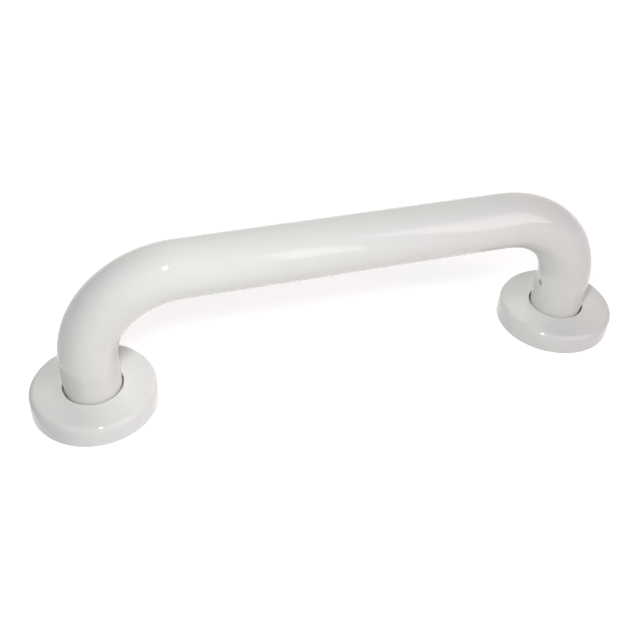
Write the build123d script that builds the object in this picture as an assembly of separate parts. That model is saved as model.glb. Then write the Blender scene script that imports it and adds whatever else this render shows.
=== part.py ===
from build123d import *
import os
from math import radians, tan

# Grab bar: a bent tube on two round wall plates, with a loose cover over each plate.
# Millimetres. The wall is the plane z = 0, +Z points into the room and the bar runs along X.

# Tube
leg_spacing = 300.0          # centre to centre of the two legs
leg_straight = 32.0          # from the wall to the start of the bend
bend_radius = 54.0           # at the tube's centreline
tube_diameter = 33.0         # over the white coat
tube_wall = 2.0              # steel and coat together
drain_diameter = 4.0         # drain hole on the inner side of each leg

# Wall plates
plate_thickness = 3.0
plate_chamfer = 0.6          # round the front edge, so that the cover starts easily
screw_count = 3
screw_hole_diameter = 6.5
screw_head_diameter = 10.0
screw_head_gap = 1.0         # between a screw head and the weld
plate_margin = 2.2           # between a screw head and the plate's edge

# Weld between leg and plate
weld_leg = 4.0
weld_bulge = 0.5             # how far the bead swells beyond a straight fillet

# Covers
cover_height = 13.5          # at the edge of the hole
cover_fall = 0.5             # drop of the top from the hole to the shoulder
cover_wall = 2.0
cover_draft = 2.8            # degrees that the side leans in
cover_shoulder = 3.5         # outside radius between side and top
cover_corner_chamfer = 1.2   # across the same corner inside
cover_hole_gap = 0.8         # between the tube and the hole, all round
cover_hole_chamfer = 0.5     # on the hole's upper edge
cover_rim_gap = 1.0          # between the plate's edge and the inside of the cover
rib_count = 6                # ribs inside the cover that grip the plate's edge
rib_width = 1.6
rib_lead_in = 1.0            # height of the sloped foot of each rib
rib_grip_gap = 0.1           # between a rib and the plate's edge

# Worked out from the sizes above, from the tube outwards
tube_radius = tube_diameter / 2
bar_height = leg_straight + bend_radius
weld_toe_radius = tube_radius + weld_leg
screw_circle_radius = weld_toe_radius + screw_head_gap + screw_head_diameter / 2
plate_radius = screw_circle_radius + screw_head_diameter / 2 + plate_margin
cover_inner_radius = plate_radius + cover_rim_gap
cover_radius = cover_inner_radius + cover_wall
cover_hole_radius = tube_radius + cover_hole_gap
cover_lean = tan(radians(cover_draft))
shoulder_height = cover_height - cover_fall
ceiling_height = shoulder_height - cover_wall

sides = {"left": -1, "right": 1}
on_base = (Align.CENTER, Align.CENTER, Align.MIN)


def at_leg(side):
    return Pos(side * leg_spacing / 2, 0, 0)


def grab_tube():
    left_x = -leg_spacing / 2
    right_x = leg_spacing / 2
    route = FilletPolyline(
        (left_x, 0, plate_thickness),
        (left_x, 0, bar_height),
        (right_x, 0, bar_height),
        (right_x, 0, plate_thickness),
        radius=bend_radius,
    )
    ring = Circle(tube_radius) - Circle(tube_radius - tube_wall)
    tube = sweep(Pos(left_x, 0, plate_thickness) * ring, path=route)
    # Each drain hole goes through the wall that faces the other leg.
    drill = Cylinder(drain_diameter / 2, tube_diameter, align=on_base)
    for side in sides.values():
        tube -= at_leg(side) * Pos(0, 0, leg_straight) * Rot(0, -side * 90, 0) * drill
    return tube


def mounting_plate(side):
    plate = Cylinder(plate_radius, plate_thickness, align=on_base)
    plate = chamfer(plate.edges().group_by(Axis.Z)[-1], plate_chamfer)
    # One hole points away from the other leg, and the others clear the bar for a driver.
    outward = 0 if side > 0 else 180
    drill = Cylinder(screw_hole_diameter / 2, plate_thickness, align=on_base)
    holes = PolarLocations(screw_circle_radius, screw_count, start_angle=outward)
    plate -= holes * drill
    return at_leg(side) * plate


def weld_bead(side):
    root = (tube_radius, plate_thickness)
    toe = (weld_toe_radius, plate_thickness)
    crown = (tube_radius, plate_thickness + weld_leg)
    outline = Line(crown, root) + Line(root, toe) + SagittaArc(toe, crown, -weld_bulge)
    bead = revolve(Plane.XZ * make_face(outline), axis=Axis.Z)
    return at_leg(side) * bead


def cover(side):
    shoulder = (cover_radius - shoulder_height * cover_lean, shoulder_height)
    hole_edge = (cover_hole_radius, cover_height)
    outline = make_face(
        Polyline((cover_hole_radius, 0), (cover_radius, 0), shoulder, hole_edge, close=True)
    )
    outline = fillet(outline.vertices().sort_by_distance(shoulder)[0], cover_shoulder)
    outline = chamfer(outline.vertices().sort_by_distance(hole_edge)[0], cover_hole_chamfer)
    blank = revolve(Plane.XZ * outline, axis=Axis.Z)

    corner = (cover_inner_radius - ceiling_height * cover_lean, ceiling_height)
    inside = make_face(
        Polyline((0, 0), (cover_inner_radius, 0), corner, (0, ceiling_height), close=True)
    )
    inside = chamfer(inside.vertices().sort_by_distance(corner)[0], cover_corner_chamfer)
    cavity = revolve(Plane.XZ * inside, axis=Axis.Z)

    # The ribs are what the cavity leaves between the side wall and the plate's edge.
    rib_face_radius = plate_radius + rib_grip_gap
    rib_outline = Polyline(
        (cover_inner_radius, 0),
        (rib_face_radius, rib_lead_in),
        (rib_face_radius, cover_height),
        (cover_radius, cover_height),
        (cover_radius, 0),
        close=True,
    )
    rib = extrude(Plane.XZ * make_face(rib_outline), amount=rib_width / 2, both=True)
    cavity -= PolarLocations(0, rib_count) * rib
    return at_leg(side) * (blank - cavity)


pieces = {"grab_tube": grab_tube()}
for side_name, side in sides.items():
    pieces[f"{side_name}_mounting_plate"] = mounting_plate(side)
    pieces[f"{side_name}_weld_bead"] = weld_bead(side)
    pieces[f"{side_name}_cover"] = cover(side)

os.makedirs("parts", exist_ok=True)
for name, piece in pieces.items():
    export_step(piece, f"parts/{name}.step")
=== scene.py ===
import math

import bpy
from mathutils import Matrix, Vector


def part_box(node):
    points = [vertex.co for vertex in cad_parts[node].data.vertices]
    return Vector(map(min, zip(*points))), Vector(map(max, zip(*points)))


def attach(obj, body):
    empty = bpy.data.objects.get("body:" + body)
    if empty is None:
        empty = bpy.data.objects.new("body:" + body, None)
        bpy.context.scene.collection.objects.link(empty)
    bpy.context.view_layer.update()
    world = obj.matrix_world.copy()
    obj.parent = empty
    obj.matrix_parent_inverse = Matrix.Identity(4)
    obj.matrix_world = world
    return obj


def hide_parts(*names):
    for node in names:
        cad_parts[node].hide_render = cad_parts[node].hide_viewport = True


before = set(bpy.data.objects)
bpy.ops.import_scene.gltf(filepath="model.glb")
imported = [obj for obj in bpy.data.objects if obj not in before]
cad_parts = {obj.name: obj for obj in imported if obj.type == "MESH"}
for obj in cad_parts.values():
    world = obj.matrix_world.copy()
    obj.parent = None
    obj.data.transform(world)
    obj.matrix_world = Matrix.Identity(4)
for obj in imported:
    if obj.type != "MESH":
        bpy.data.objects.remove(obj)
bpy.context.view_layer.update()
scene = bpy.context.scene
scene.view_settings.view_transform = "Standard"

# main sizes, in metres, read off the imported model
tubeLow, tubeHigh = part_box("grab_tube")
plateLow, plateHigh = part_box("right_mounting_plate")
weldLow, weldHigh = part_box("right_weld_bead")
coverLow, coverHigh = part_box("right_cover")
tubeRadius = (tubeHigh.y - tubeLow.y) / 2
legX = tubeHigh.x - tubeRadius
barHeight = tubeHigh.z - tubeRadius
plateTop = plateHigh.z
plateRadius = (plateHigh.y - plateLow.y) / 2
weldRadius = (weldHigh.y - weldLow.y) / 2
weldTop = weldHigh.z
coverRadius = (coverHigh.y - coverLow.y) / 2
coverTop = coverHigh.z
print(f"frame loaded, legs at x = {legX:.4f}, bar axis at z = {barHeight:.4f}")

sizeType = "NodeSocketFloat"
countType = "NodeSocketInt"
finishType = "NodeSocketMaterial"
hardEdge = 35.0   # degrees between faces from which an edge stays hard


# small helpers for node trees
def feed(tree, socket, value):
    if isinstance(value, bpy.types.NodeSocket):
        tree.links.new(value, socket)
    else:
        socket.default_value = value


def addNode(tree, kind, inputs=None, **settings):
    node = tree.nodes.new(kind)
    for name, value in settings.items():
        setattr(node, name, value)
    for name, value in (inputs or {}).items():
        feed(tree, node.inputs[name], value)
    return node


def calc(tree, operation, *values):
    node = addNode(tree, "ShaderNodeMath", operation=operation)
    for socket, value in zip(node.inputs, values):
        feed(tree, socket, value)
    return node.outputs[0]


def combine(tree, x, y, z):
    return addNode(tree, "ShaderNodeCombineXYZ", {"X": x, "Y": y, "Z": z}).outputs[0]


def pick(tree, dataType, values):
    node = addNode(tree, "GeometryNodeIndexSwitch", data_type=dataType)
    while len(node.index_switch_items) < len(values):
        node.index_switch_items.new()
    feed(tree, node.inputs[0], addNode(tree, "GeometryNodeInputIndex").outputs[0])
    for number, value in enumerate(values):
        feed(tree, node.inputs[number + 1], value)
    return node.outputs[0]


def startTree(name, inputs, kind="GeometryNodeTree"):
    tree = bpy.data.node_groups.new(name, kind)
    for label, socketType in inputs.items():
        tree.interface.new_socket(label, in_out="INPUT", socket_type=socketType)
    return tree, tree.nodes.new("NodeGroupInput").outputs


def kindsOf(sizes):
    kinds = {float: sizeType, int: countType}
    return {label: kinds.get(type(value), finishType) for label, value in sizes.items()}


def endTree(tree, mesh, finish, sharpAngle=hardEdge):
    # smooth faces, hard edges only where the surface really turns
    smooth = addNode(tree, "GeometryNodeSetShadeSmooth", {0: mesh, "Shade Smooth": True})
    angle = addNode(tree, "GeometryNodeInputMeshEdgeAngle").outputs["Unsigned Angle"]
    turned = calc(tree, "GREATER_THAN", angle, math.radians(sharpAngle))
    hard = addNode(
        tree,
        "GeometryNodeSetShadeSmooth",
        {0: smooth.outputs[0], "Selection": turned, "Shade Smooth": False},
        domain="EDGE",
    )
    real = addNode(tree, "GeometryNodeRealizeInstances", {0: hard.outputs[0]})
    coated = addNode(tree, "GeometryNodeSetMaterial", {0: real.outputs[0], "Material": finish})
    tree.interface.new_socket("Mesh", in_out="OUTPUT", socket_type="NodeSocketGeometry")
    addNode(tree, "NodeGroupOutput", {"Mesh": coated.outputs[0]})


def growPiece(name, tree, sizes, bevel=None):
    piece = bpy.data.objects.new(name, bpy.data.meshes.new(name))
    scene.collection.objects.link(piece)
    grower = piece.modifiers.new("grower", "NODES")
    grower.node_group = tree
    for item in tree.interface.items_tree:
        if item.in_out == "INPUT":
            grower[item.identifier] = sizes[item.name]
    if bevel:
        edge = piece.modifiers.new("edge", "BEVEL")
        edge.width = bevel["width"]
        edge.segments = bevel["segments"]
        edge.limit_method = "ANGLE"
        edge.angle_limit = math.radians(hardEdge)
        edge.harden_normals = True
    grown = piece.evaluated_get(bpy.context.evaluated_depsgraph_get())
    mesh = bpy.data.meshes.new_from_object(grown)
    piece.modifiers.clear()
    piece.data = mesh
    print(f"{name}: {len(mesh.polygons)} faces")
    return piece


# Gloss skin shared by the coated steel and the moulded covers: a faint cloudiness in the white,
# patches that are a little duller, and the fine waviness that a thick gloss coat dries with.
skin, skinIn = startTree(
    "glossSkin",
    {
        "White": "NodeSocketColor",
        "Cloud White": "NodeSocketColor",
        "Cloud Scale": sizeType,
        "Gloss": sizeType,
        "Dull Patches": sizeType,
        "Wave Scale": sizeType,
        "Grain Scale": sizeType,
        "Grain Share": sizeType,
    },
    "ShaderNodeTree",
)
skinPlace = addNode(skin, "ShaderNodeTexCoord").outputs["Object"]
cloud = addNode(
    skin,
    "ShaderNodeTexNoise",
    {"Vector": skinPlace, "Scale": skinIn["Cloud Scale"], "Detail": 3.0, "Roughness": 0.55},
).outputs[0]
cloudMask = addNode(
    skin,
    "ShaderNodeMapRange",
    {"Value": cloud, "From Min": 0.35, "From Max": 0.65, "To Min": 0.0, "To Max": 1.0},
).outputs[0]
skinColor = addNode(skin, "ShaderNodeMix", data_type="RGBA")
feed(skin, skinColor.inputs[0], cloudMask)
feed(skin, skinColor.inputs[6], skinIn["White"])
feed(skin, skinColor.inputs[7], skinIn["Cloud White"])
skinGloss = calc(skin, "MULTIPLY_ADD", cloudMask, skinIn["Dull Patches"], skinIn["Gloss"])
wave = addNode(
    skin,
    "ShaderNodeTexNoise",
    {"Vector": skinPlace, "Scale": skinIn["Wave Scale"], "Detail": 1.0, "Roughness": 0.4},
).outputs[0]
grain = addNode(
    skin,
    "ShaderNodeTexNoise",
    {"Vector": skinPlace, "Scale": skinIn["Grain Scale"], "Detail": 2.0, "Roughness": 0.5},
).outputs[0]
skinHeight = calc(skin, "MULTIPLY_ADD", grain, skinIn["Grain Share"], wave)
for label, socketType in {
    "Color": "NodeSocketColor",
    "Roughness": sizeType,
    "Height": sizeType,
}.items():
    skin.interface.new_socket(label, in_out="OUTPUT", socket_type=socketType)
addNode(
    skin,
    "NodeGroupOutput",
    {"Color": skinColor.outputs[2], "Roughness": skinGloss, "Height": skinHeight},
)


def glossFinish(name, look):
    material = bpy.data.materials.new(name)
    material.use_nodes = True
    tree = material.node_tree
    shader = tree.nodes["Principled BSDF"]
    surface = addNode(tree, "ShaderNodeGroup", node_tree=skin)
    for label, value in look["skin"].items():
        feed(tree, surface.inputs[label], value)
    bump = addNode(
        tree,
        "ShaderNodeBump",
        {
            "Height": surface.outputs["Height"],
            "Strength": look["waveStrength"],
            "Distance": look["waveDepth"],
        },
    )
    feed(tree, shader.inputs["Base Color"], surface.outputs["Color"])
    feed(tree, shader.inputs["Roughness"], surface.outputs["Roughness"])
    feed(tree, shader.inputs["Normal"], bump.outputs["Normal"])
    shader.inputs["IOR"].default_value = look["ior"]
    return material


coatLook = {
    "skin": {
        "White": (0.84, 0.84, 0.825, 1.0),
        "Cloud White": (0.82, 0.82, 0.80, 1.0),
        "Cloud Scale": 38.0,
        "Gloss": 0.03,
        "Dull Patches": 0.02,
        "Wave Scale": 420.0,
        "Grain Scale": 2600.0,
        "Grain Share": 0.12,
    },
    "waveStrength": 0.15,
    "waveDepth": 0.00002,
    "ior": 1.55,
}
coverLook = {
    "skin": {
        "White": (0.85, 0.853, 0.845, 1.0),
        "Cloud White": (0.83, 0.833, 0.815, 1.0),
        "Cloud Scale": 55.0,
        "Gloss": 0.05,
        "Dull Patches": 0.03,
        "Wave Scale": 650.0,
        "Grain Scale": 4200.0,
        "Grain Share": 0.25,
    },
    "waveStrength": 0.15,
    "waveDepth": 0.00002,
    "ior": 1.5,
}
whiteCoat = glossFinish("whiteCoat", coatLook)
whiteCover = glossFinish("whiteCover", coverLook)
print("finishes made")

# Tube: a ring swept along legs, bends and bar, with a drain hole through the inner side of each leg
tubeSizes = {
    "Leg X": legX,
    "Foot Height": tubeLow.z,
    "Bar Height": barHeight,
    "Bend Radius": 0.054,
    "Tube Radius": tubeRadius,
    "Wall": 0.002,
    "Step": 0.0018,
    "Bend Steps": 120,
    "Skin Sides": 160,
    "Bore Sides": 56,
    "Bore Coarseness": 3.0,
    "Drain Radius": 0.002,
    "Drain Height": 0.032,
    "Drain Sides": 40,
    "Drain Lip": 0.0003,
    "Lip Depth": 2.0,    # in lips, below the tube's surface
    "Lip Spread": 3.0,   # in lips, how far the flare runs on outwards
    "Sliver": 0.000002,
    "Finish": whiteCoat,
}
tubeKinds = kindsOf(tubeSizes)

# the centreline: four corners, the middle two raised to the bar and rounded by the bends
routeLabels = ("Leg X", "Foot Height", "Bar Height", "Bend Radius", "Bend Steps", "Step")
route, routeIn = startTree("legRoute", {label: tubeKinds[label] for label in routeLabels})
corner = addNode(route, "GeometryNodeInputIndex").outputs[0]
onRight = calc(route, "GREATER_THAN", corner, 1.5)
routeSide = calc(route, "MULTIPLY_ADD", onRight, 2.0, -1.0)
raised = calc(
    route, "LESS_THAN", calc(route, "ABSOLUTE", calc(route, "SUBTRACT", corner, 1.5)), 1.0
)
rise = calc(route, "SUBTRACT", routeIn["Bar Height"], routeIn["Foot Height"])
corners = addNode(route, "GeometryNodeMeshLine", {"Count": 4})
cornerLine = addNode(route, "GeometryNodeMeshToCurve", {0: corners.outputs[0]})
cornerPlace = combine(
    route,
    calc(route, "MULTIPLY", routeSide, routeIn["Leg X"]),
    0.0,
    calc(route, "MULTIPLY_ADD", raised, rise, routeIn["Foot Height"]),
)
squareRoute = addNode(
    route, "GeometryNodeSetPosition", {0: cornerLine.outputs[0], "Position": cornerPlace}
)
bentRoute = addNode(
    route,
    "GeometryNodeFilletCurve",
    {
        0: squareRoute.outputs[0],
        "Count": routeIn["Bend Steps"],
        "Radius": routeIn["Bend Radius"],
    },
    mode="POLY",
)
evenRoute = addNode(
    route,
    "GeometryNodeResampleCurve",
    {0: bentRoute.outputs[0], "Length": routeIn["Step"]},
    mode="LENGTH",
)
route.interface.new_socket("Curve", in_out="OUTPUT", socket_type="NodeSocketGeometry")
addNode(route, "NodeGroupOutput", {"Curve": evenRoute.outputs[0]})

tube, tubeIn = startTree("bentTube", tubeKinds)


def sweepRound(radius, sides, foot, step):
    path = addNode(tube, "GeometryNodeGroup", node_tree=route)
    for label in ("Leg X", "Bar Height", "Bend Radius", "Bend Steps"):
        feed(tube, path.inputs[label], tubeIn[label])
    feed(tube, path.inputs["Foot Height"], foot)
    feed(tube, path.inputs["Step"], step)
    ring = addNode(
        tube, "GeometryNodeCurvePrimitiveCircle", {"Resolution": sides, "Radius": radius}
    )
    return addNode(
        tube,
        "GeometryNodeCurveToMesh",
        {"Curve": path.outputs[0], "Profile Curve": ring.outputs[0], "Fill Caps": True},
    ).outputs[0]


outerSkin = sweepRound(
    tubeIn["Tube Radius"], tubeIn["Skin Sides"], tubeIn["Foot Height"], tubeIn["Step"]
)
# the bore starts a wall's thickness below the foot, so that the tube is open there
bore = sweepRound(
    calc(tube, "SUBTRACT", tubeIn["Tube Radius"], tubeIn["Wall"]),
    tubeIn["Bore Sides"],
    calc(tube, "SUBTRACT", tubeIn["Foot Height"], tubeIn["Wall"]),
    calc(tube, "MULTIPLY", tubeIn["Step"], tubeIn["Bore Coarseness"]),
)
# one tool per drain: a cylinder of three rings, which are moved to the bore, to just under the
# tube's surface and, flared, to just outside it
drill = addNode(
    tube,
    "GeometryNodeMeshCylinder",
    {
        "Vertices": tubeIn["Drain Sides"],
        "Side Segments": 2,
        "Radius": tubeIn["Drain Radius"],
        "Depth": tubeIn["Tube Radius"],
    },
)
drillPoint = addNode(
    tube, "ShaderNodeSeparateXYZ", {0: addNode(tube, "GeometryNodeInputPosition").outputs[0]}
)
# they start half a tube radius apart, so a quarter of it tells them apart
betweenRings = calc(tube, "MULTIPLY", tubeIn["Tube Radius"], 0.25)
outerRing = calc(tube, "GREATER_THAN", drillPoint.outputs[2], betweenRings)
innerRing = calc(
    tube, "LESS_THAN", drillPoint.outputs[2], calc(tube, "MULTIPLY", betweenRings, -1.0)
)
lipRise = calc(tube, "MULTIPLY", tubeIn["Drain Lip"], tubeIn["Lip Spread"])
lipFoot = calc(
    tube,
    "SUBTRACT",
    tubeIn["Tube Radius"],
    calc(tube, "MULTIPLY", tubeIn["Drain Lip"], tubeIn["Lip Depth"]),
)
flare = calc(
    tube, "MULTIPLY_ADD", outerRing, calc(tube, "DIVIDE", lipRise, tubeIn["Drain Radius"]), 1.0
)
ringHeight = calc(
    tube,
    "MULTIPLY_ADD",
    innerRing,
    calc(tube, "MULTIPLY", tubeIn["Tube Radius"], -0.5),   # well into the bore
    calc(tube, "MULTIPLY_ADD", outerRing, lipRise, lipFoot),
)
drillFlared = addNode(
    tube,
    "GeometryNodeSetPosition",
    {
        0: drill.outputs[0],
        "Position": combine(
            tube,
            calc(tube, "MULTIPLY", drillPoint.outputs[0], flare),
            calc(tube, "MULTIPLY", drillPoint.outputs[1], flare),
            ringHeight,
        ),
    },
)
drainStart = combine(
    tube, calc(tube, "MULTIPLY", tubeIn["Leg X"], -1.0), 0.0, tubeIn["Drain Height"]
)
drainPair = addNode(
    tube,
    "GeometryNodeMeshLine",
    {
        "Count": 2,
        "Start Location": drainStart,
        "Offset": combine(tube, calc(tube, "MULTIPLY", tubeIn["Leg X"], 2.0), 0.0, 0.0),
    },
)
drainTurn = combine(
    tube,
    0.0,
    calc(
        tube,
        "MULTIPLY_ADD",
        addNode(tube, "GeometryNodeInputIndex").outputs[0],
        -math.pi,
        math.pi / 2,
    ),
    0.0,
)
drains = addNode(
    tube,
    "GeometryNodeInstanceOnPoints",
    {
        "Points": drainPair.outputs[0],
        "Instance": drillFlared.outputs[0],
        "Rotation": addNode(tube, "FunctionNodeEulerToRotation", {0: drainTurn}).outputs[0],
    },
)
drainTools = addNode(tube, "GeometryNodeRealizeInstances", {0: drains.outputs[0]})
hollow = addNode(
    tube,
    "GeometryNodeMeshBoolean",
    {"Mesh 1": outerSkin},
    operation="DIFFERENCE",
    solver="MANIFOLD",
)
for cutter in (bore, drainTools.outputs[0]):
    tube.links.new(cutter, hollow.inputs["Mesh 2"])
# slivers along the cuts close up
hollowClean = addNode(
    tube, "GeometryNodeMergeByDistance", {0: hollow.outputs[0], "Distance": tubeIn["Sliver"]}
)
endTree(tube, hollowClean.outputs[0], tubeIn["Finish"])
grabTube = growPiece("grabTube", tube, tubeSizes)

# Covers: a section turned round the leg, with ribs inside that grip the plate
coverSizes = {
    "Leg X": legX,
    "Base Radius": coverRadius,
    "Hole Radius": tubeRadius + 0.0008,   # a gap all round the tube
    "Height": coverTop,
    "Fall": 0.0005,
    "Wall": 0.002,
    "Lean": math.tan(math.radians(2.8)),   # the side leans in by this angle
    "Shoulder": 0.0035,
    "Hole Edge": 0.0006,
    "Inside Corner": 0.0015,
    "Rim Edge": 0.0003,
    "Turn Steps": 192,
    "Rib Count": 6,
    "Rib Width": 0.0016,
    "Rib Face": plateRadius + 0.0001,   # just off the plate's edge
    "Rib Root": 0.25,   # share of the wall that a rib reaches into
    "Rib Lead In": 0.001,
    "Finish": whiteCover,
}
cover, coverIn = startTree("screwCover", kindsOf(coverSizes))


def sectionPoint(radius, height):
    # the sweep turns the section's x outwards and its y downwards
    return combine(
        cover,
        calc(cover, "SUBTRACT", radius, coverIn["Base Radius"]),
        calc(cover, "MULTIPLY", height, -1.0),
        0.0,
    )


shoulderHeight = calc(cover, "SUBTRACT", coverIn["Height"], coverIn["Fall"])
ceiling = calc(cover, "SUBTRACT", shoulderHeight, coverIn["Wall"])
innerRadius = calc(cover, "SUBTRACT", coverIn["Base Radius"], coverIn["Wall"])
shoulderRadius = calc(
    cover,
    "SUBTRACT",
    coverIn["Base Radius"],
    calc(cover, "MULTIPLY", shoulderHeight, coverIn["Lean"]),
)
ceilingRadius = calc(
    cover, "SUBTRACT", innerRadius, calc(cover, "MULTIPLY", ceiling, coverIn["Lean"])
)
# from the rim inside the cover, over the ceiling and out over the top, so that faces point outwards
sectionPoints = [
    sectionPoint(innerRadius, 0.0),
    sectionPoint(ceilingRadius, ceiling),
    sectionPoint(coverIn["Hole Radius"], ceiling),
    sectionPoint(coverIn["Hole Radius"], coverIn["Height"]),
    sectionPoint(shoulderRadius, shoulderHeight),
    sectionPoint(coverIn["Base Radius"], 0.0),
]
sectionRounds = [
    coverIn["Rim Edge"],
    coverIn["Inside Corner"],
    coverIn["Rim Edge"],
    coverIn["Hole Edge"],
    coverIn["Shoulder"],
    coverIn["Rim Edge"],
]
sectionSteps = [3, 5, 3, 6, 14, 3]
sectionLine = addNode(cover, "GeometryNodeMeshLine", {"Count": len(sectionPoints)})
sectionCurve = addNode(cover, "GeometryNodeMeshToCurve", {0: sectionLine.outputs[0]})
sectionPlaced = addNode(
    cover,
    "GeometryNodeSetPosition",
    {0: sectionCurve.outputs[0], "Position": pick(cover, "VECTOR", sectionPoints)},
)
sectionClosed = addNode(
    cover, "GeometryNodeSetSplineCyclic", {0: sectionPlaced.outputs[0], "Cyclic": True}
)
sectionRounded = addNode(
    cover,
    "GeometryNodeFilletCurve",
    {
        0: sectionClosed.outputs[0],
        "Count": pick(cover, "INT", sectionSteps),
        "Radius": pick(cover, "FLOAT", sectionRounds),
    },
    mode="POLY",
)
turnPath = addNode(
    cover,
    "GeometryNodeCurvePrimitiveCircle",
    {"Resolution": coverIn["Turn Steps"], "Radius": coverIn["Base Radius"]},
)
shell = addNode(
    cover,
    "GeometryNodeCurveToMesh",
    {"Curve": turnPath.outputs[0], "Profile Curve": sectionRounded.outputs[0]},
).outputs[0]

# one rib: a block whose inner foot is raised to a slope, then set round the inside
ribBack = calc(cover, "MULTIPLY_ADD", coverIn["Wall"], coverIn["Rib Root"], innerRadius)
ribDeep = calc(cover, "SUBTRACT", ribBack, coverIn["Rib Face"])
ribTall = calc(cover, "SUBTRACT", ceiling, coverIn["Rim Edge"])
ribMiddle = calc(cover, "MULTIPLY_ADD", ribDeep, 0.5, coverIn["Rib Face"])
ribFootHeight = calc(cover, "MULTIPLY", coverIn["Rim Edge"], 2.0)   # clear of the rim's rounding
ribBlock = addNode(
    cover,
    "GeometryNodeMeshCube",
    {"Size": combine(cover, ribDeep, coverIn["Rib Width"], ribTall)},
)
ribPlace = addNode(
    cover,
    "GeometryNodeTransform",
    {
        0: ribBlock.outputs[0],
        "Translation": combine(
            cover,
            ribMiddle,
            0.0,
            calc(cover, "MULTIPLY_ADD", ribTall, 0.5, ribFootHeight),
        ),
    },
)
ribPoint = addNode(
    cover, "ShaderNodeSeparateXYZ", {0: addNode(cover, "GeometryNodeInputPosition").outputs[0]}
)
ribFoot = calc(
    cover,
    "MULTIPLY",
    calc(cover, "LESS_THAN", ribPoint.outputs[0], ribMiddle),
    calc(cover, "LESS_THAN", ribPoint.outputs[2], calc(cover, "MULTIPLY", ribTall, 0.5)),
)
ribSloped = addNode(
    cover,
    "GeometryNodeSetPosition",
    {
        0: ribPlace.outputs[0],
        "Selection": ribFoot,
        "Offset": combine(cover, 0.0, 0.0, coverIn["Rib Lead In"]),
    },
)
ribSpots = addNode(
    cover, "GeometryNodeMeshLine", {"Count": coverIn["Rib Count"], "Offset": (0.0, 0.0, 0.0)}
)
ribTurn = combine(
    cover,
    0.0,
    0.0,
    calc(
        cover,
        "MULTIPLY",
        addNode(cover, "GeometryNodeInputIndex").outputs[0],
        calc(cover, "DIVIDE", 2 * math.pi, coverIn["Rib Count"]),
    ),
)
ribs = addNode(
    cover,
    "GeometryNodeInstanceOnPoints",
    {
        "Points": ribSpots.outputs[0],
        "Instance": ribSloped.outputs[0],
        "Rotation": addNode(cover, "FunctionNodeEulerToRotation", {0: ribTurn}).outputs[0],
    },
)
ribsReal = addNode(cover, "GeometryNodeRealizeInstances", {0: ribs.outputs[0]})
ribbed = addNode(cover, "GeometryNodeMeshBoolean", operation="UNION", solver="MANIFOLD")
for part in (shell, ribsReal.outputs[0]):
    cover.links.new(part, ribbed.inputs["Mesh 2"])
onLeg = addNode(
    cover,
    "GeometryNodeTransform",
    {0: ribbed.outputs[0], "Translation": combine(cover, coverIn["Leg X"], 0.0, 0.0)},
)
endTree(cover, onLeg.outputs[0], coverIn["Finish"])
leftCover = growPiece("leftCover", cover, {**coverSizes, "Leg X": -legX})
rightCover = growPiece("rightCover", cover, coverSizes)

# Wall plates: a disc with three screw holes, its edges rounded by the coat
plateSizes = {
    "Leg X": legX,
    "Radius": plateRadius,
    "Thickness": plateTop,
    "Hole Count": 3,
    "Hole Circle": 0.0265,
    "Hole Radius": 0.00325,
    "First Hole": 0.0,
    "Disc Sides": 144,
    "Hole Sides": 48,
    "Finish": whiteCoat,
}
plateEdge = {"width": 0.0005, "segments": 3}
plate, plateIn = startTree("wallPlate", kindsOf(plateSizes))
disc = addNode(
    plate,
    "GeometryNodeMeshCylinder",
    {
        "Vertices": plateIn["Disc Sides"],
        "Radius": plateIn["Radius"],
        "Depth": plateIn["Thickness"],
    },
)
# the drill is three plates deep, so that it clears both faces
plateDrill = addNode(
    plate,
    "GeometryNodeMeshCylinder",
    {
        "Vertices": plateIn["Hole Sides"],
        "Radius": plateIn["Hole Radius"],
        "Depth": calc(plate, "MULTIPLY", plateIn["Thickness"], 3.0),
    },
)
drillOut = addNode(
    plate,
    "GeometryNodeTransform",
    {0: plateDrill.outputs[0], "Translation": combine(plate, plateIn["Hole Circle"], 0.0, 0.0)},
)
holeTurn = calc(
    plate,
    "MULTIPLY_ADD",
    addNode(plate, "GeometryNodeInputIndex").outputs[0],
    calc(plate, "DIVIDE", 2 * math.pi, plateIn["Hole Count"]),
    plateIn["First Hole"],
)
holeSpots = addNode(
    plate, "GeometryNodeMeshLine", {"Count": plateIn["Hole Count"], "Offset": (0.0, 0.0, 0.0)}
)
holes = addNode(
    plate,
    "GeometryNodeInstanceOnPoints",
    {
        "Points": holeSpots.outputs[0],
        "Instance": drillOut.outputs[0],
        "Rotation": addNode(
            plate, "FunctionNodeEulerToRotation", {0: combine(plate, 0.0, 0.0, holeTurn)}
        ).outputs[0],
    },
)
holesReal = addNode(plate, "GeometryNodeRealizeInstances", {0: holes.outputs[0]})
drilled = addNode(
    plate,
    "GeometryNodeMeshBoolean",
    {"Mesh 1": disc.outputs[0]},
    operation="DIFFERENCE",
    solver="EXACT",
)
plate.links.new(holesReal.outputs[0], drilled.inputs["Mesh 2"])
plateOnLeg = addNode(
    plate,
    "GeometryNodeTransform",
    {
        0: drilled.outputs[0],
        "Translation": combine(
            plate, plateIn["Leg X"], 0.0, calc(plate, "MULTIPLY", plateIn["Thickness"], 0.5)
        ),
    },
)
endTree(plate, plateOnLeg.outputs[0], plateIn["Finish"])
leftPlate = growPiece(
    "leftPlate", plate, {**plateSizes, "Leg X": -legX, "First Hole": math.pi}, plateEdge
)
rightPlate = growPiece("rightPlate", plate, plateSizes, plateEdge)

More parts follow.
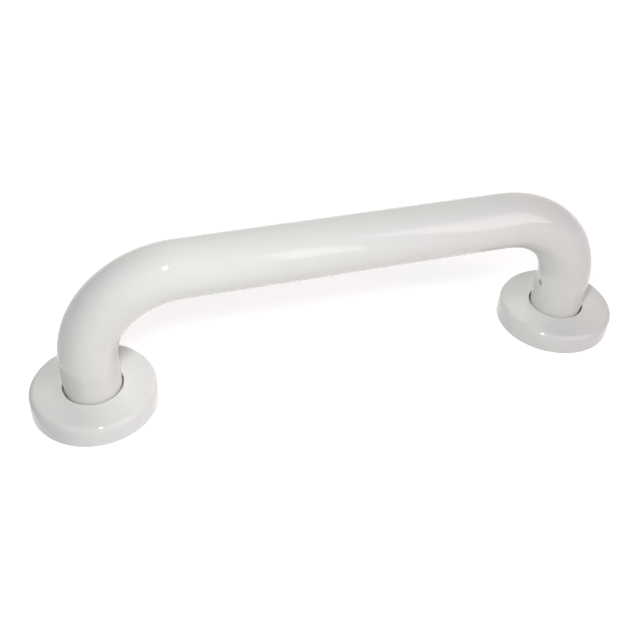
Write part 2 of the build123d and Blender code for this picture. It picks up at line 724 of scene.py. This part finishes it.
# Weld beads: a swollen fillet round the foot of each leg, with the ripples of a hand weld
weldSizes = {
    "Leg X": legX,
    "Inner Radius": tubeRadius,
    "Toe Radius": weldRadius,
    "Foot": plateTop,
    "Crown": weldTop,
    "Bulge": 0.0005,
    "Turn Steps": 368,
    "Ripple Count": 46.0,
    "Ripple Depth": 0.00008,
    "Ripple Lag": 3.0,   # how far the ripples trail towards the crown, in radians
    "Finish": whiteCoat,
}
weldSteps = 10     # from crown to toe
weldSharp = 60.0   # degrees, so that the ripples stay smooth
weld, weldIn = startTree("weldBead", kindsOf(weldSizes))
weldIndex = addNode(weld, "GeometryNodeInputIndex").outputs[0]
# 1 at the crown, 0 at the toe
weldShare = calc(weld, "MULTIPLY_ADD", weldIndex, -1.0 / weldSteps, 1.0)
atRoot = calc(weld, "GREATER_THAN", weldIndex, weldSteps + 0.5)
onFace = calc(weld, "SUBTRACT", 1.0, atRoot)
# an arch that is highest, at one bulge, in the middle of the face, and leans out and up alike
swell = calc(
    weld,
    "MULTIPLY",
    calc(weld, "MULTIPLY", weldShare, calc(weld, "SUBTRACT", 1.0, weldShare)),
    calc(weld, "MULTIPLY", weldIn["Bulge"], 4.0 * math.sqrt(0.5)),
)
legWide = calc(weld, "SUBTRACT", weldIn["Toe Radius"], weldIn["Inner Radius"])
legTall = calc(weld, "SUBTRACT", weldIn["Crown"], weldIn["Foot"])
faceOut = calc(
    weld, "MULTIPLY_ADD", calc(weld, "SUBTRACT", 1.0, weldShare), legWide, swell
)
faceUp = calc(weld, "MULTIPLY_ADD", weldShare, legTall, swell)
weldLine = addNode(weld, "GeometryNodeMeshLine", {"Count": weldSteps + 2})
weldCurve = addNode(weld, "GeometryNodeMeshToCurve", {0: weldLine.outputs[0]})
weldPlaced = addNode(
    weld,
    "GeometryNodeSetPosition",
    {
        0: weldCurve.outputs[0],
        "Position": combine(
            weld,
            calc(weld, "MULTIPLY", faceOut, onFace),
            calc(
                weld,
                "MULTIPLY",
                calc(weld, "MULTIPLY_ADD", faceUp, onFace, weldIn["Foot"]),
                -1.0,
            ),
            0.0,
        ),
    },
)
weldClosed = addNode(
    weld, "GeometryNodeSetSplineCyclic", {0: weldPlaced.outputs[0], "Cyclic": True}
)
weldPath = addNode(
    weld,
    "GeometryNodeCurvePrimitiveCircle",
    {"Resolution": weldIn["Turn Steps"], "Radius": weldIn["Inner Radius"]},
)
bead = addNode(
    weld,
    "GeometryNodeCurveToMesh",
    {"Curve": weldPath.outputs[0], "Profile Curve": weldClosed.outputs[0]},
)
beadPoint = addNode(
    weld, "ShaderNodeSeparateXYZ", {0: addNode(weld, "GeometryNodeInputPosition").outputs[0]}
)
beadAround = calc(weld, "ARCTAN2", beadPoint.outputs[1], beadPoint.outputs[0])
beadReach = calc(
    weld,
    "SQRT",
    calc(
        weld,
        "ADD",
        calc(weld, "MULTIPLY", beadPoint.outputs[0], beadPoint.outputs[0]),
        calc(weld, "MULTIPLY", beadPoint.outputs[1], beadPoint.outputs[1]),
    ),
)
beadUp = calc(
    weld, "DIVIDE", calc(weld, "SUBTRACT", beadPoint.outputs[2], weldIn["Foot"]), legTall
)
beadOut = calc(
    weld, "DIVIDE", calc(weld, "SUBTRACT", beadReach, weldIn["Inner Radius"]), legWide
)
# nothing moves at toe, crown and root, so the bead stays closed against leg and plate;
# in the middle of the face this comes to about 1
loose = calc(weld, "MULTIPLY", calc(weld, "MULTIPLY", beadUp, beadOut), 4.0)
ripplePhase = calc(
    weld,
    "MULTIPLY_ADD",
    beadAround,
    weldIn["Ripple Count"],
    calc(weld, "MULTIPLY", calc(weld, "MULTIPLY", beadUp, beadUp), weldIn["Ripple Lag"]),
)
ripple = calc(
    weld,
    "MULTIPLY",
    calc(weld, "MULTIPLY", calc(weld, "SINE", ripplePhase), loose),
    weldIn["Ripple Depth"],
)
rippled = addNode(
    weld,
    "GeometryNodeSetPosition",
    {
        0: bead.outputs[0],
        "Offset": combine(
            weld,
            calc(weld, "MULTIPLY", ripple, calc(weld, "COSINE", beadAround)),
            calc(weld, "MULTIPLY", ripple, calc(weld, "SINE", beadAround)),
            ripple,
        ),
    },
)
beadOnLeg = addNode(
    weld,
    "GeometryNodeTransform",
    {0: rippled.outputs[0], "Translation": combine(weld, weldIn["Leg X"], 0.0, 0.0)},
)
endTree(weld, beadOnLeg.outputs[0], weldIn["Finish"], weldSharp)
leftWeld = growPiece("leftWeld", weld, {**weldSizes, "Leg X": -legX})
rightWeld = growPiece("rightWeld", weld, weldSizes)

# each piece stands for its CAD node and rides on that node's body
standIns = [
    (grabTube, "grab_tube", "rail", "white_coat"),
    (leftPlate, "left_mounting_plate", "rail", "white_coat"),
    (rightPlate, "right_mounting_plate", "rail", "white_coat"),
    (leftWeld, "left_weld_bead", "rail", "white_coat"),
    (rightWeld, "right_weld_bead", "rail", "white_coat"),
    (leftCover, "left_cover", "left_cover", "white_cover"),
    (rightCover, "right_cover", "right_cover", "white_cover"),
]
for piece, node, body, slotName in standIns:
    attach(piece, body)
    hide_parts(node)
print("pieces placed")

# Camera, fitted to the outline of tube and covers
cameraView = {
    "aim": Vector((-0.01427, 0.0, 0.03199)),
    "azimuth": -19.334,
    "elevation": 41.145,
    "roll": 3.318,
    "distance": 0.50941,
    "lens": 47.7726,
    "sensor": 36.0,
    "nearest": 0.01,
}
azimuth = math.radians(cameraView["azimuth"])
elevation = math.radians(cameraView["elevation"])
outward = Vector(
    (
        math.cos(elevation) * math.sin(azimuth),
        -math.cos(elevation) * math.cos(azimuth),
        math.sin(elevation),
    )
)
level = Vector((math.cos(azimuth), math.sin(azimuth), 0.0))
upward = outward.cross(level)
axes = Matrix((level, upward, outward)).transposed()
camera = bpy.data.objects.new("camera", bpy.data.cameras.new("camera"))
camera.data.lens = cameraView["lens"]
camera.data.sensor_width = cameraView["sensor"]
camera.data.clip_start = cameraView["nearest"]
turned = axes @ Matrix.Rotation(math.radians(cameraView["roll"]), 3, "Z")
place = cameraView["aim"] + outward * cameraView["distance"]
camera.matrix_world = Matrix.Translation(place) @ turned.to_4x4()
scene.collection.objects.link(camera)
scene.camera = camera

# Lamps: a small flash just above the camera, a narrow and a wide pane to the front right that make
# the streaks, the wide one in three bands that dim upwards, and a soft panel behind
lampLooks = {
    "overCamera": {
        "at": (-0.145, -0.293, 0.437),
        "towards": (0.0, 0.0, 0.05),
        "size": (0.0234, 0.10),
        "turn": 25.3,
        "oval": True,
        "glow": 232.0,
        "color": (0.962, 1.0, 0.982),
    },
    "narrowPane": {
        "at": (0.419, -1.538, 0.875),
        "towards": (-0.155, -0.719, 0.875),
        "size": (0.214, 1.11),
        "glow": 2.1,
        "color": (1.0, 0.98, 0.89),
    },
    "widePane": {
        "at": (1.043, -1.101, 0.708),
        "towards": (0.469, -0.282, 0.708),
        "size": (0.845, 0.685),
        "glow": 2.5,
        "color": (1.0, 0.82, 0.85),
    },
    "middlePane": {
        "at": (1.043, -1.101, 1.275),
        "towards": (0.469, -0.282, 1.275),
        "size": (0.845, 0.45),
        "glow": 2.15,
        "color": (1.0, 0.83, 0.97),
    },
    "upperPane": {
        "at": (1.043, -1.101, 1.79),
        "towards": (0.469, -0.282, 1.79),
        "size": (0.845, 0.58),
        "glow": 1.5,
        "color": (1.0, 0.86, 1.0),
    },
    "backPanel": {
        "at": (0.5, 1.4, 0.7),
        "towards": (0.0, 0.0, 0.05),
        "size": (1.6, 1.0),
        "glow": 2.3,
        "color": (1.0, 0.935, 0.89),
        "mirrored": False,
    },
}


def addLamp(name, look):
    lamp = bpy.data.lights.new(name, "AREA")
    oval = look.get("oval", False)
    lamp.shape = "ELLIPSE" if oval else "RECTANGLE"
    lamp.size, lamp.size_y = look["size"]
    face = lamp.size * lamp.size_y * (math.pi / 4 if oval else 1.0)
    lamp.energy = look["glow"] * math.pi * face   # glow is the brightness of the face
    lamp.color = look["color"]
    holder = bpy.data.objects.new(name, lamp)
    holder.visible_glossy = look.get("mirrored", True)
    at = Vector(look["at"])
    towards = Vector(look["towards"]) - at
    aimed = towards.to_track_quat("-Z", "Y").to_matrix().to_4x4()
    turn = Matrix.Rotation(math.radians(look.get("turn", 0.0)), 4, "Z")
    holder.matrix_world = Matrix.Translation(at) @ aimed @ turn
    scene.collection.objects.link(holder)


for name, look in lampLooks.items():
    addLamp(name, look)

# Floor and surroundings: white where they are seen, an even fill where they only light
stageLook = {
    "floorSize": 4.0,
    "floorDrop": 0.0002,
    "floorColor": 0.88,
    "floorRoughness": 0.9,
    "brightest": (-0.06, -0.12, 0.0),
    "nearLift": 0.60,
    "farLift": 0.92,
    "liftStart": 0.2,
    "liftEnd": 0.65,
    "fill": 0.09,
    "seen": 1.0,
}


def seenMask(tree):
    rays = addNode(tree, "ShaderNodeLightPath").outputs
    seen = calc(tree, "ADD", rays["Is Camera Ray"], rays["Is Glossy Ray"])
    both = calc(tree, "ADD", seen, rays["Is Transmission Ray"])
    return calc(tree, "MINIMUM", both, 1.0)


half = stageLook["floorSize"] / 2
floorCorners = ((-half, -half), (half, -half), (half, half), (-half, half))
floorMesh = bpy.data.meshes.new("floor")
floorMesh.from_pydata(
    [(x, y, -stageLook["floorDrop"]) for x, y in floorCorners], [], [(0, 1, 2, 3)]
)
floor = bpy.data.objects.new("floor", floorMesh)
scene.collection.objects.link(floor)
floorPaper = bpy.data.materials.new("floorPaper")
floorPaper.use_nodes = True
paperTree = floorPaper.node_tree
paperShader = paperTree.nodes["Principled BSDF"]
paperShader.inputs["Base Color"].default_value = (stageLook["floorColor"],) * 3 + (1.0,)
paperShader.inputs["Roughness"].default_value = stageLook["floorRoughness"]
paperShader.inputs["Specular IOR Level"].default_value = 0.0
paperShader.inputs["Emission Color"].default_value = (1.0, 1.0, 1.0, 1.0)
floorReach = addNode(
    paperTree,
    "ShaderNodeVectorMath",
    {0: addNode(paperTree, "ShaderNodeTexCoord").outputs["Object"], 1: stageLook["brightest"]},
    operation="DISTANCE",
).outputs["Value"]
# away from the object less of the flash reaches the floor, so more of its white is its own
floorLift = addNode(
    paperTree,
    "ShaderNodeMapRange",
    {
        "Value": floorReach,
        "From Min": stageLook["liftStart"],
        "From Max": stageLook["liftEnd"],
        "To Min": stageLook["nearLift"],
        "To Max": stageLook["farLift"],
    },
    interpolation_type="SMOOTHSTEP",
).outputs[0]
feed(
    paperTree,
    paperShader.inputs["Emission Strength"],
    calc(paperTree, "MULTIPLY", seenMask(paperTree), floorLift),
)
floorMesh.materials.append(floorPaper)

world = bpy.data.worlds.new("studio")
world.use_nodes = True
scene.world = world
skyTree = world.node_tree
sky = skyTree.nodes["Background"]
sky.inputs["Color"].default_value = (1.0, 1.0, 1.0, 1.0)
feed(
    skyTree,
    sky.inputs["Strength"],
    calc(
        skyTree,
        "MULTIPLY_ADD",
        seenMask(skyTree),
        stageLook["seen"] - stageLook["fill"],
        stageLook["fill"],
    ),
)
print("camera, lamps and floor set")
